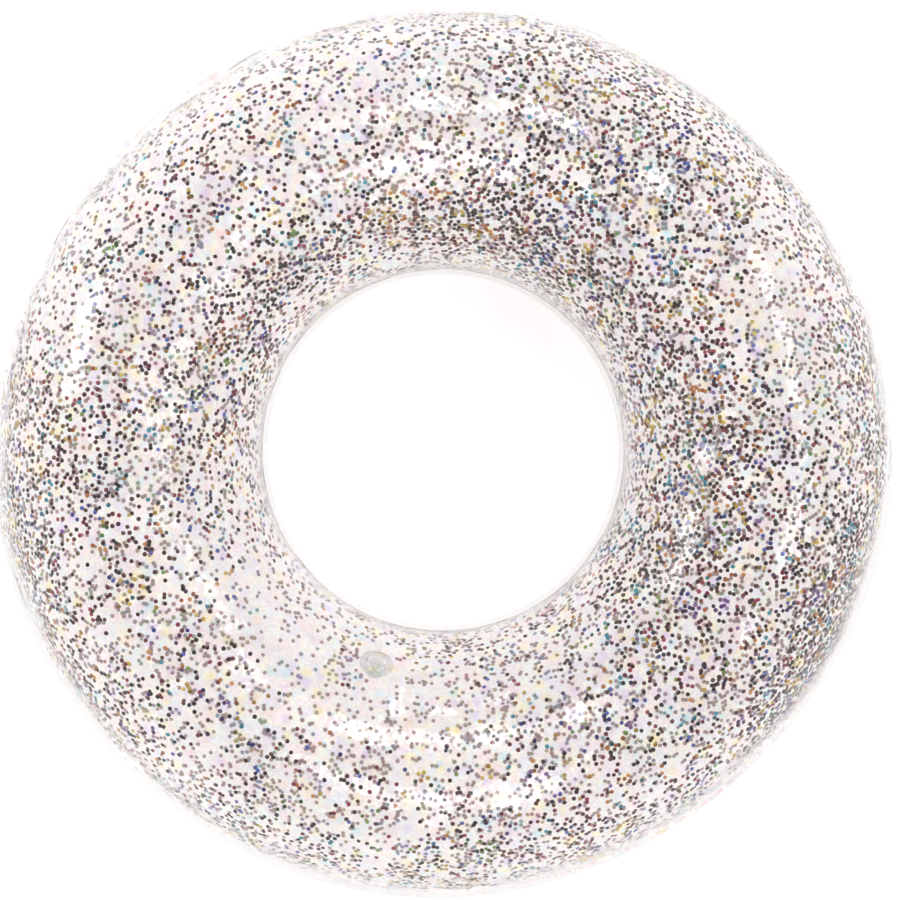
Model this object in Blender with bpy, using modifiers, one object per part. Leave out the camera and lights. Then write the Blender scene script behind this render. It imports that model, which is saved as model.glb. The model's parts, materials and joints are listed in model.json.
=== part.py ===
"""Clear swim ring with foil confetti: two welded films, a push-in valve with its plug, and loose dots.

Metres, +Z up. The ring lies flat, its axis is Z, and the origin is on the axis at the floor.
"""

from math import cos, pi, sin

import bpy
from mathutils import Matrix, Vector

# Driving dimensions
OUTER_DIAMETER = 0.900  # over the outer weld band
HOLE_DIAMETER = 0.354  # inside the inner weld band
TUBE_HEIGHT = 0.262
OUTER_WELD = 0.006  # width of the flat weld band round the outside
INNER_WELD = 0.005  # width of the flat weld band round the hole
FILM = 0.0003  # film thickness
GAP = 0.0003  # clearance kept between pieces that touch
MERGE = 0.00001  # corners nearer than this are one corner
CROWN_SHIFT = 0.010  # how far the tube's crown lies outside the middle of its width

STEPS = 52  # facets round the ring
SEGMENTS = 13  # facets over each half of the tube; odd, so that one lies flat at the crown
ROUND = 24  # facets round the valve's pieces

# Worked out from them
OUTER_SEAM = OUTER_DIAMETER / 2 - OUTER_WELD
INNER_SEAM = HOLE_DIAMETER / 2 + INNER_WELD
MIDDLE = (OUTER_SEAM + INNER_SEAM) / 2
HALF_WIDTH = (OUTER_SEAM - INNER_SEAM) / 2
HALF_HEIGHT = TUBE_HEIGHT / 2
MID_Z = HALF_HEIGHT
SEAM_LIFT = GAP / 2 + FILM  # from the middle plane to a weld band's outer face
CREST = (HALF_HEIGHT - SEAM_LIFT) / cos(pi / SEGMENTS / 2)  # so that the crown's facets reach the height

# Valve: the facet of the lower film that it sits in, and its sizes along its own axis.
# Its local Z is the film's outward normal, and 0 is the film's outer face.
VALVE_SEGMENT = 9
VALVE_STEP = 36
VALVE_HOLE_R = 0.0105
HOLE_CUTTER_REACH = 0.004
FLANGE_R = 0.018
FLANGE_TOP = -0.0013
FLANGE_THICK = 0.0005
FLANGE_BEVEL = (0.0015, 0.0002)  # inwards and down, at the flange's upper rim
BELLOWS_R = 0.0102
BELLOWS_TOP = -0.0006
BELLOWS_SHOULDER = -0.0032
BELLOWS_FOOT_R = 0.0079
BELLOWS_FOLD = 0.0006
BELLOWS_WALL = 0.0005
STEM_R = 0.0060
BORE_R = 0.0040
STEM_TOP = -0.0010
STEM_FOOT = -0.0165
COLLAR_R = 0.0070
COLLAR_THICK = 0.0016
RING_R = 0.0073
RING_TOP = -0.0080
RING_THICK = 0.0018
CAP_R = 0.0085
CAP_THICK = 0.0018
SHANK_LENGTH = 0.0095
SHANK_TIP_R = 0.0033
TAB_REACH = 0.0124
TAB_WIDTH = 0.0050
TAB_THICK = 0.0010
STRAP_WIDTH = 0.0030
STRAP_THICK = 0.0006
FLAP_R = 0.0055
FLAP_THICK = 0.0005
FLAP_HINGE_X = -0.0066
TONGUE_LENGTH = 0.0030
TONGUE_WIDTH = 0.0040

# Confetti
DOT_R = 0.0023
DOT_THICK = 0.0001
DOTS = 40
DOT_SIDES = 6
GOLDEN = (5**0.5 - 1) / 2
FOIL = {
    "black": (0.035, 0.030, 0.032),
    "crimson": (0.42, 0.02, 0.06),
    "indigo": (0.07, 0.06, 0.34),
    "teal": (0.02, 0.30, 0.34),
    "gold": (0.62, 0.36, 0.05),
    "orange": (0.72, 0.19, 0.04),
    "violet": (0.24, 0.05, 0.30),
    "green": (0.05, 0.28, 0.10),
}


def clear_scene():
    for obj in list(bpy.data.objects):
        bpy.data.objects.remove(obj, do_unlink=True)


def new_collection(name):
    collection = bpy.data.collections.new(name)
    bpy.context.scene.collection.children.link(collection)
    return collection


def material(name, colour, roughness, metallic=0.0, alpha=1.0):
    mat = bpy.data.materials.new(name)
    mat.use_nodes = True
    shader = mat.node_tree.nodes["Principled BSDF"]
    shader.inputs["Base Color"].default_value = (*colour, 1.0)
    shader.inputs["Roughness"].default_value = roughness
    shader.inputs["Metallic"].default_value = metallic
    shader.inputs["Alpha"].default_value = alpha
    return mat


def add_object(name, mesh, collection, mat, parent=None, place=(0.0, 0.0, 0.0)):
    """Links a mesh object, placed in its parent's frame."""
    obj = bpy.data.objects.new(name, mesh)
    collection.objects.link(obj)
    obj.parent = parent
    obj.location = place
    if mat:
        mesh.materials.append(mat)
    return obj


def profile_mesh(name, points, closed):
    """A chain of (radius, height) points in the XZ plane, for a Screw modifier."""
    mesh = bpy.data.meshes.new(name)
    edges = [(i, i + 1) for i in range(len(points) - 1)]
    if closed:
        edges.append((len(points) - 1, 0))
    mesh.from_pydata([(r, 0.0, z) for r, z in points], edges, [])
    return mesh


def add_screw(obj, steps):
    screw = obj.modifiers.new("turn", "SCREW")
    screw.axis = "Z"
    screw.steps = steps
    screw.render_steps = steps
    screw.use_merge_vertices = True
    screw.merge_threshold = MERGE
    screw.use_smooth_shade = True


def turned(name, points, mat, collection, parent, closed=True, place=(0.0, 0.0, 0.0)):
    """A solid of revolution about the local Z axis. The points run down its outer side."""
    obj = add_object(name, profile_mesh(name, points, closed), collection, mat, parent, place)
    add_screw(obj, ROUND)
    return obj


def cut(obj, cutter, operation="DIFFERENCE"):
    boolean = obj.modifiers.new(f"{operation.lower()}_{cutter.name}", "BOOLEAN")
    boolean.operation = operation
    boolean.solver = "EXACT"
    boolean.object = cutter


def as_guide(obj):
    obj.display_type = "WIRE"
    obj.hide_render = True
    return obj


def guide_box(name, size, parent, place, guides):
    """A box that is joined to another piece, kept among the cutters."""
    bpy.ops.mesh.primitive_cube_add(size=1.0)
    box = bpy.context.object
    box.name = name
    box.data.transform(Matrix.Diagonal((*size, 1.0)))
    for owner in box.users_collection:
        owner.objects.unlink(box)
    guides.objects.link(box)
    box.parent = parent
    box.location = place
    return as_guide(box)


# The tube's section


def section_point(angle, side):
    """A corner of the section: angle 0 at the outer seam, pi at the inner one; side +1 up, -1 down."""
    radius = MIDDLE + HALF_WIDTH * cos(angle) + CROWN_SHIFT * sin(angle) ** 2
    return radius, MID_Z + side * (SEAM_LIFT + CREST * sin(angle))


def half_profile(side):
    """From the outer weld's edge over the crown to the inner weld's edge."""
    wall = [section_point(pi * i / SEGMENTS, side) for i in range(SEGMENTS + 1)]
    seam_z = MID_Z + side * SEAM_LIFT
    return [(OUTER_DIAMETER / 2, seam_z), *wall, (HOLE_DIAMETER / 2, seam_z)]


def film(name, side, mat, collection):
    """One half of the tube with both weld bands: a turned sheet given the film's thickness inwards."""
    points = half_profile(side)
    if side > 0:
        points = points[::-1]
    obj = add_object(name, profile_mesh(name, points, closed=False), collection, mat)
    add_screw(obj, STEPS)
    solidify = obj.modifiers.new("thickness", "SOLIDIFY")
    solidify.thickness = FILM
    solidify.offset = -1.0
    solidify.use_even_offset = True
    return obj


def facet_frame(segment, step, side):
    """Centre and outward axes of one flat facet of a film, as a matrix whose Z is its normal."""
    low = section_point(pi * segment / SEGMENTS, side)
    high = section_point(pi * (segment + 1) / SEGMENTS, side)
    turn = 2 * pi / STEPS
    azimuth = (step + 0.5) * turn
    flat = cos(turn / 2)  # a facet's middle lies this much nearer to the axis than its corners
    outward = Vector((cos(azimuth), sin(azimuth), 0.0))
    along = Vector((-sin(azimuth), cos(azimuth), 0.0))
    radius = (low[0] + high[0]) / 2 * flat
    centre = outward * radius + Vector((0.0, 0.0, (low[1] + high[1]) / 2))
    uphill = outward * ((high[0] - low[0]) * flat) + Vector((0.0, 0.0, high[1] - low[1]))
    uphill.normalize()
    normal = along.cross(uphill) * side
    frame = Matrix((uphill, normal.cross(uphill), normal)).transposed().to_4x4()
    frame.translation = centre
    return frame


# The valve


def valve_seat():
    """An empty on the valve's axis, at the film's outer face, with its Z pointing out of the ring."""
    seat = bpy.data.objects.new("valve_axis", None)
    seat.empty_display_size = 0.03
    seat.matrix_world = facet_frame(VALVE_SEGMENT, VALVE_STEP, -1)
    return seat


def valve_hole(film_obj, seat, guides):
    points = [
        (0.0, HOLE_CUTTER_REACH),
        (VALVE_HOLE_R, HOLE_CUTTER_REACH),
        (VALVE_HOLE_R, -HOLE_CUTTER_REACH),
        (0.0, -HOLE_CUTTER_REACH),
    ]
    cutter = turned("valve_hole_cutter", points, None, guides, seat, closed=False)
    cut(film_obj, as_guide(cutter))


def valve_flange(seat, mat, collection):
    inner = BELLOWS_R + BELLOWS_WALL / 2 + GAP
    bottom = FLANGE_TOP - FLANGE_THICK
    inwards, down = FLANGE_BEVEL
    points = [
        (inner, FLANGE_TOP),
        (FLANGE_R - inwards, FLANGE_TOP),
        (FLANGE_R, FLANGE_TOP - down),
        (FLANGE_R, bottom),
        (inner, bottom),
    ]
    return turned("valve_flange", points, mat, collection, seat)


def valve_bellows(seat, mat, collection):
    """A thin cone with a rim at the flange and an inward fold at the stem's collar."""
    half = BELLOWS_WALL / 2
    foot_z = STEM_FOOT + COLLAR_THICK / 2
    fold_r, fold_z = BELLOWS_FOOT_R + BELLOWS_FOLD, foot_z + 2 * BELLOWS_FOLD
    bottom, ledge = foot_z - COLLAR_THICK / 4, foot_z + COLLAR_THICK / 16
    outside = [
        (BELLOWS_R + half, BELLOWS_TOP),
        (BELLOWS_R + half, BELLOWS_SHOULDER),
        (fold_r + half, fold_z),
        (BELLOWS_FOOT_R + half, bottom),
    ]
    inside = [
        (COLLAR_R + GAP, bottom),
        (COLLAR_R + GAP, ledge),
        (fold_r - half, fold_z),
        (BELLOWS_R - half, BELLOWS_SHOULDER),
        (BELLOWS_R - half, BELLOWS_TOP),
    ]
    return turned("valve_bellows", outside + inside, mat, collection, seat)


def valve_stem(seat, mat, collection):
    lip = 0.0005
    points = [
        (BORE_R, STEM_TOP),
        (STEM_R - lip, STEM_TOP),
        (STEM_R, STEM_TOP - lip),
        (STEM_R, STEM_FOOT + COLLAR_THICK),
        (COLLAR_R, STEM_FOOT + COLLAR_THICK),
        (COLLAR_R, STEM_FOOT),
        (BORE_R, STEM_FOOT),
    ]
    return turned("valve_stem", points, mat, collection, seat)


def strap_ring(seat, mat, collection):
    points = [
        (STEM_R + GAP, RING_TOP),
        (RING_R, RING_TOP),
        (RING_R, RING_TOP - RING_THICK),
        (STEM_R + GAP, RING_TOP - RING_THICK),
    ]
    return turned("strap_ring", points, mat, collection, seat)


def plug(seat, mat, collection, guides):
    """Cap and tapered shank, turned, with a lift tab joined to the cap's edge."""
    cap_bottom = STEM_TOP + GAP
    cap_top = cap_bottom + CAP_THICK
    shank_r = BORE_R - GAP
    points = [
        (0.0, cap_top),
        (CAP_R - 0.0006, cap_top),
        (CAP_R, cap_top - 0.0006),
        (CAP_R, cap_bottom),
        (shank_r, cap_bottom),
        (shank_r, cap_bottom - SHANK_LENGTH * 0.6),
        (SHANK_TIP_R, cap_bottom - SHANK_LENGTH),
        (0.0, cap_bottom - SHANK_LENGTH),
    ]
    obj = turned("plug", points, mat, collection, seat, closed=False)
    start = CAP_R - 0.0015
    place = (0.0, -(TAB_REACH + start) / 2, cap_top - 0.0001 - TAB_THICK / 2)
    tab = guide_box("lift_tab", (TAB_WIDTH, TAB_REACH - start, TAB_THICK), seat, place, guides)
    bevel = tab.modifiers.new("rounded", "BEVEL")
    bevel.width = 0.0003
    bevel.segments = 1
    cut(obj, tab, "UNION")
    return obj


def plug_strap(seat, mat, collection):
    """A flat tether from the cap's edge down beside the stem to the strap ring."""
    side = [
        (CAP_R + GAP, 0.0004),
        (CAP_R + 0.0009, -0.0002),
        (CAP_R + 0.0006, -0.0016),
        (RING_R + 0.0009, -0.0048),
        (RING_R + 0.0006, RING_TOP - 0.0004),
    ]
    curve = bpy.data.curves.new("plug_strap", "CURVE")
    curve.dimensions = "2D"
    curve.fill_mode = "NONE"
    curve.extrude = STRAP_WIDTH / 2
    spline = curve.splines.new("POLY")
    spline.points.add(len(side) - 1)
    for point, (y, z) in zip(spline.points, side):
        point.co = (y, z, 0.0, 1.0)
    obj = add_object("plug_strap", curve, collection, mat, seat)
    obj.rotation_euler = (pi / 2, 0.0, pi / 2)  # the curve's plane stands on the valve's Y and Z
    solidify = obj.modifiers.new("thickness", "SOLIDIFY")
    solidify.thickness = STRAP_THICK
    solidify.offset = 0.0
    solidify.use_even_offset = True
    return obj


def check_flap(seat, mat, collection, guides):
    """A thin disc that covers the bore's inner end and swings in about its short hinge tongue."""
    top = -GAP
    points = [(0.0, top), (FLAP_R, top), (FLAP_R, top - FLAP_THICK), (0.0, top - FLAP_THICK)]
    hinge = bpy.data.objects.new("flap_hinge", None)
    collection.objects.link(hinge)
    hinge.parent = seat
    hinge.location = (FLAP_HINGE_X, 0.0, STEM_FOOT)
    obj = turned("check_flap", points, mat, collection, hinge, closed=False, place=(-FLAP_HINGE_X, 0.0, 0.0))
    size = (TONGUE_LENGTH, TONGUE_WIDTH, FLAP_THICK * 0.8)
    tongue = guide_box("hinge_tongue", size, hinge, (TONGUE_LENGTH / 2, 0.0, top - FLAP_THICK / 2), guides)
    cut(obj, tongue, "UNION")
    return obj


# Confetti


def dot_places():
    """(segment, step, side) of each dot's facet, spread evenly by the golden ratio, none at the valve."""
    places = []
    i = 0
    while len(places) < DOTS:
        i += 1
        side = 1 if i % 2 else -1
        step = int(i * GOLDEN * STEPS) % STEPS
        segment = 1 + (i * 5) % (SEGMENTS - 2)
        near_valve = abs(step - VALVE_STEP) <= 2
        if not near_valve and (segment, step, side) not in places:
            places.append((segment, step, side))
    return places


def confetti(mats, collection):
    depth = FILM + GAP + DOT_THICK / 2
    mesh = {}
    for name, mat in mats.items():
        bpy.ops.mesh.primitive_cylinder_add(vertices=DOT_SIDES, radius=DOT_R, depth=DOT_THICK)
        maker = bpy.context.object
        mesh[name] = maker.data
        mesh[name].materials.append(mat)
        bpy.data.objects.remove(maker)
    names = list(mesh)
    for number, (segment, step, side) in enumerate(dot_places(), start=1):
        name = f"confetti_{number:02d}"
        obj = add_object(name, mesh[names[number % len(names)]], collection, None)
        frame = facet_frame(segment, step, side)
        obj.matrix_world = frame @ Matrix.Translation((0.0, 0.0, -depth))


def main():
    clear_scene()
    parts = new_collection("swim_ring")
    guides = new_collection("cutters")
    clear_film = material("clear_film", (0.93, 0.92, 0.91), 0.08, alpha=0.25)
    soft_pvc = material("soft_pvc", (0.85, 0.88, 0.88), 0.25, alpha=0.55)
    plug_pvc = material("plug_pvc", (0.80, 0.86, 0.87), 0.3, alpha=0.7)
    flap_pvc = material("flap_pvc", (0.86, 0.88, 0.88), 0.35, alpha=0.6)
    foils = {k: material(f"foil_{k}", v, 0.25, metallic=0.6) for k, v in FOIL.items()}

    film("upper_film", 1, clear_film, parts)
    lower = film("lower_film", -1, clear_film, parts)
    seat = valve_seat()
    parts.objects.link(seat)
    valve_hole(lower, seat, guides)
    valve_flange(seat, soft_pvc, parts)
    valve_bellows(seat, soft_pvc, parts)
    valve_stem(seat, soft_pvc, parts)
    strap_ring(seat, plug_pvc, parts)
    plug(seat, plug_pvc, parts, guides)
    plug_strap(seat, plug_pvc, parts)
    check_flap(seat, flap_pvc, parts, guides)
    confetti(foils, parts)


main()
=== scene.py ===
"""Looks of a clear swim ring with loose foil confetti inside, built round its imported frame.

The file is laid out as an add-on and run as a script. Metres, +Z up, the ring's axis is Z.
"""

import json
from contextlib import contextmanager
from math import cos, pi, radians, sin, tau

import bmesh
import bpy
import numpy as np
from mathutils import Matrix, Vector, noise
from mathutils.bvhtree import BVHTree


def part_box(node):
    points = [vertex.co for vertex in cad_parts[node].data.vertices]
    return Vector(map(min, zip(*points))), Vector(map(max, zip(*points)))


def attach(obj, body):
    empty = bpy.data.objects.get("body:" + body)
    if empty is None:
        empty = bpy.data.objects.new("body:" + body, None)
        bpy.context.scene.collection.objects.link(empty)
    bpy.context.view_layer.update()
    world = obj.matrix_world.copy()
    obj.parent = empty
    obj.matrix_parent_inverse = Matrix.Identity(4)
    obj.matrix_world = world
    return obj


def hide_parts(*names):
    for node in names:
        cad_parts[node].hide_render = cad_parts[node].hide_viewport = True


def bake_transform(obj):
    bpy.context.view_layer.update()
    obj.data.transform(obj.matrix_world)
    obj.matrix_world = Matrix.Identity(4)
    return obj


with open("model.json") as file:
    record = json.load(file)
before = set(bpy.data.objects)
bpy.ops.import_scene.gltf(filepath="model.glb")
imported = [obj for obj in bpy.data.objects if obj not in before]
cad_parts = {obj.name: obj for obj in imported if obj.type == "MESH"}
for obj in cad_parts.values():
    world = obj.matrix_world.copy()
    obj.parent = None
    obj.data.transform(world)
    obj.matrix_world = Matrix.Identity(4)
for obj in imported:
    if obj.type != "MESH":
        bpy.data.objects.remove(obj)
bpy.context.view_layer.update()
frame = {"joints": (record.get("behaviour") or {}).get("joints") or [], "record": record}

bl_info = {
    "name": "Confetti swim ring",
    "version": (1, 0, 0),
    "blender": (4, 5, 0),
    "location": "View3D > Sidebar > Swim Ring",
    "description": "Clear inflated swim ring with foil confetti and a push-in valve",
    "category": "Object",
}


# Read from the frame


def frame_points(node):
    """The corners of one frame piece."""
    mesh = bpy.data.objects[node].data
    found = np.empty(len(mesh.vertices) * 3)
    mesh.vertices.foreach_get("co", found)
    return found.reshape(-1, 3)


def joint(name):
    return next(j for j in frame["joints"] if j["name"] == name)


FILM_CORNERS = frame_points("upper_film")
REACH = np.hypot(FILM_CORNERS[:, 0], FILM_CORNERS[:, 1])
OUTER_R = float(REACH.max())
HOLE_R = float(REACH.min())
TOP = float(FILM_CORNERS[:, 2].max())
MID = TOP / 2
OUTER_WELD = 0.006
INNER_WELD = 0.005
FILM = 0.0003
OUTER_SEAM = OUTER_R - OUTER_WELD
INNER_SEAM = HOLE_R + INNER_WELD
MIDDLE = (OUTER_SEAM + INNER_SEAM) / 2
HALF_WIDTH = (OUTER_SEAM - INNER_SEAM) / 2
CROWN_SHIFT = 0.010
SEAM_LIFT = FILM + 0.00004  # the welded films all but touch
RISE = MID - SEAM_LIFT

# The valve's own axes: Z points out of the ring, X up the flank and Y along the ring.
# Its zero is the film's outer face, which stands a little above the stem's mouth.
MOUTH_DEPTH = 0.0010
VALVE_Z = Vector(joint("valve_pull")["axis"]).normalized()
VALVE_Y = VALVE_Z.cross(Vector((0, 0, 1))).normalized()
VALVE_X = VALVE_Y.cross(VALVE_Z)
STEM_CORNERS = frame_points("valve_stem")
HEIGHTS = STEM_CORNERS @ np.array(VALVE_Z)
MOUTH = Vector(STEM_CORNERS[HEIGHTS > HEIGHTS.max() - 0.0001].mean(0)) + VALVE_Z * MOUTH_DEPTH
VALVE = Matrix((VALVE_X, VALVE_Y, VALVE_Z)).transposed().to_4x4()
VALVE.translation = MOUTH

# Sizes along the valve's axis, as its solids have them
HOLE = 0.0105
SKIRT_R = 0.018
BELLOWS_R = 0.0102
BELLOWS_FOOT_R = 0.0079
STEM_R = 0.0060
BORE_R = 0.0040
STEM_FOOT = -0.0165
COLLAR_R = 0.0070
COLLAR_THICK = 0.0016
RING_R = 0.0073
RING_TOP = -0.0080
RING_THICK = 0.0018
CAP_R = 0.0085
CAP_BOTTOM = -0.0007
CAP_TOP = 0.0011
SHANK_R = 0.0037
SHANK_TIP = -0.0102
TAB_REACH = 0.0124
TAB_WIDTH = 0.0050
STRAP_WIDTH = 0.0030
STRAP_THICK = 0.0006
FLAP_R = 0.0055
FLAP_THICK = 0.0005
FLAP_HINGE_X = -0.0066

FOIL_SHARES = {
    "black": 0.36,
    "crimson": 0.27,
    "indigo": 0.08,
    "teal": 0.05,
    "gold": 0.07,
    "orange": 0.08,
    "violet": 0.05,
    "green": 0.04,
}
# Painted coloured light: the film over a patch of like dots lets through a tint of the light those dots
# bounce onto it, painted in like a stain: foil, tint and strength.
PAINTED_FOIL_BOUNCE = (
    ("crimson", "blush", 0.15),
    ("indigo", "lilac", 0.24),
    ("teal", "frost", 0.26),
    ("gold", "cream", 0.34),
    ("orange", "cream", 0.26),
    ("violet", "lilac", 0.22),
)


def foil_span(foil):
    """The part of 0 to 1 that stands for one foil."""
    names = list(FOIL_SHARES)
    low = sum(FOIL_SHARES[name] for name in names[: names.index(foil)])
    return low, low + FOIL_SHARES[foil]


# What a user may change


def whole(label, default, least, description):
    return bpy.props.IntProperty(name=label, default=default, min=least, description=description)


def length(label, default, description):
    return bpy.props.FloatProperty(name=label, default=default, subtype="DISTANCE", description=description)


def colour(label, default, description):
    return bpy.props.FloatVectorProperty(
        name=label, default=default, subtype="COLOR", size=3, description=description
    )


class RingSizes(bpy.types.PropertyGroup):
    """Shape of the two films."""

    steps: whole("Steps round", 960, 96, "Faces round the ring")
    rows: whole("Rows", 52, 12, "Faces over each half of the tube")
    folds: whole("Folds", 150, 0, "Puckers that start at the outer weld")
    fold_depth: length("Fold depth", 0.0017, "Depth of the deepest pucker")
    fold_reach: length("Fold reach", 0.018, "How far a usual pucker runs")
    slackness: length("Slackness", 0.0014, "Height of the broad soft lumps")
    buckle: length("Weld waviness", 0.0011, "How far the weld band waves")


class FilmColours(bpy.types.PropertyGroup):
    """Tints of the clear films and of the soft valve."""

    # Blush, cream, frost and lilac stain the films in patches, and also tint the painted coloured light that
    # patches of foil dots bounce onto the films.
    blush: colour("Blush", (0.97, 0.60, 0.66), "Pink stain of the films")
    cream: colour("Cream", (0.98, 0.89, 0.52), "Yellow stain of the films")
    clear: colour("Clear", (0.95, 0.94, 0.93), "The films' milk where nothing stains it")
    frost: colour("Frost", (0.56, 0.84, 0.93), "Pale blue stain of the films")
    lilac: colour("Lilac", (0.74, 0.60, 0.92), "Violet stain of the films")
    valve: colour("Valve", (0.90, 0.945, 0.945), "Soft PVC of the valve and its plug")


class ConfettiSizes(bpy.types.PropertyGroup):
    """Size and crowding of the loose foil dots."""

    radius: length("Dot radius", 0.0023, "Radius of one foil dot")
    thickness: length("Dot thickness", 0.00008, "Thickness of the foil")
    spacing: length("Spacing", 0.0026, "Least distance between two dots")
    crowding: bpy.props.FloatProperty(
        name="Crowding", default=40000.0, min=0.0, description="Most dots on one square metre of film"
    )
    cluster: length("Cluster size", 0.016, "Width of a patch of like dots")
    tilt: bpy.props.FloatProperty(
        name="Tilt", default=radians(7), subtype="ANGLE", description="How far a dot leans off the film"
    )


# Shader and geometry trees


class Wire:
    """An output socket that can be used in Python expressions."""

    def __init__(self, maker, socket):
        self.maker = maker
        self.socket = socket

    def math(self, operation, *others):
        sockets = dict(enumerate((self, *others)))
        return self.maker.node("ShaderNodeMath", {"operation": operation}, sockets)

    def __add__(self, other):
        return self.math("ADD", other)

    def __sub__(self, other):
        return self.math("SUBTRACT", other)

    def __mul__(self, other):
        return self.math("MULTIPLY", other)

    def __truediv__(self, other):
        return self.math("DIVIDE", other)

    def __pow__(self, other):
        return self.math("POWER", other)

    def __rsub__(self, other):
        return (self * -1.0) + other

    def __rtruediv__(self, other):
        return self.maker.node("ShaderNodeMath", {"operation": "DIVIDE"}, {0: other, 1: self})

    __radd__ = __add__
    __rmul__ = __mul__

    def clamped(self):
        wire = self + 0.0
        wire.socket.node.use_clamp = True
        return wire

    def smooth(self, low, high):
        """0 below low and 1 above high, eased between."""
        sockets = {"Value": self, "From Min": low, "From Max": high}
        return self.maker.node("ShaderNodeMapRange", {"interpolation_type": "SMOOTHSTEP"}, sockets)


class Maker:
    """Adds nodes to one tree."""

    def __init__(self, tree):
        self.tree = tree

    def node(self, kind, settings=None, sockets=None, output=0):
        node = self.tree.nodes.new(kind)
        for name, value in (settings or {}).items():
            if name == "stops":
                self.set_stops(node.color_ramp, value)
            else:
                setattr(node, name, value)
        for key, value in (sockets or {}).items():
            if isinstance(value, Wire):
                self.tree.links.new(value.socket, node.inputs[key])
            else:
                node.inputs[key].default_value = value
        return Wire(self, node.outputs[output])

    @staticmethod
    def set_stops(ramp, stops):
        while len(ramp.elements) < len(stops):
            ramp.elements.new(0.5)
        for element, (position, colour) in zip(ramp.elements, stops):
            element.position = position
            element.color = (*colour, 1.0)


class Finish(Maker):
    """A material under construction."""

    def __init__(self, name):
        self.material = bpy.data.materials.new(name)
        self.material.use_nodes = True
        super().__init__(self.material.node_tree)
        self.tree.nodes.clear()
        self.place = self.node("ShaderNodeTexCoord", output="Object")

    def noise(self, scale, detail=2.0, vector=None, roughness=0.5):
        sockets = {"Vector": vector or self.place, "Scale": scale, "Detail": detail, "Roughness": roughness}
        return self.node("ShaderNodeTexNoise", {"noise_dimensions": "3D"}, sockets)

    def ramp(self, factor, stops):
        return self.node("ShaderNodeValToRGB", {"stops": stops}, {"Fac": factor})

    def blend(self, factor, first, second):
        settings = {"data_type": "RGBA"}
        return self.node("ShaderNodeMix", settings, {0: factor, 6: first, 7: second}, output=2)

    def vector_math(self, operation, first, second, output=0):
        return self.node("ShaderNodeVectorMath", {"operation": operation}, {0: first, 1: second}, output)

    def axis_parts(self):
        parts = self.node("ShaderNodeSeparateXYZ", sockets={0: self.place})
        outputs = parts.socket.node.outputs
        return [Wire(self, outputs[axis]) for axis in ("X", "Y", "Z")]

    def bump(self, height, strength, distance, normal=None):
        sockets = {"Height": height, "Strength": strength, "Distance": distance}
        if normal:
            sockets["Normal"] = normal
        return self.node("ShaderNodeBump", sockets=sockets)

    def principled(self, **sockets):
        names = {key.replace("_", " "): value for key, value in sockets.items()}
        return self.node("ShaderNodeBsdfPrincipled", sockets=names)

    def mirroring(self, normal, straight):
        """Share of light that a face mirrors: straight on a little, and all of it along the face."""
        slant = self.node("ShaderNodeLayerWeight", sockets={"Blend": 0.5, "Normal": normal}, output="Facing")
        return (straight + slant**5.0 * (1.0 - straight)).clamped()

    def mix(self, factor, first, second):
        return self.node("ShaderNodeMixShader", sockets={0: factor, 1: first, 2: second})

    def clear(self, tint):
        return self.node("ShaderNodeBsdfTransparent", sockets={"Color": (*tint, 1.0)})

    def done(self, shader):
        out = self.tree.nodes.new("ShaderNodeOutputMaterial")
        self.tree.links.new(shader.socket, out.inputs["Surface"])
        return self.material


# Finishes

RIB_PITCH = 0.0011  # of the rings pressed into the film over the valve's skirt
KNURL_PITCH = 0.0013  # of the fine lines pressed into the weld bands
FILM_TINT = (0.968, 0.951, 0.952)  # what one face of the film lets through
WELD_TINT = (0.993, 0.992, 0.992)
STAIN_MIDDLES = (("blush", 0.36), ("cream", 0.48), ("frost", 0.56), ("lilac", 0.65))
STAIN_STRENGTH = 0.06
UPPER_VEIL, LOWER_VEIL = 0.008, 0.045  # how milky each film is


def thinned(colour, strength):
    """The colour mixed with white: strength 0 is white."""
    return tuple(1 - (1 - c) * strength for c in colour)


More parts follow.
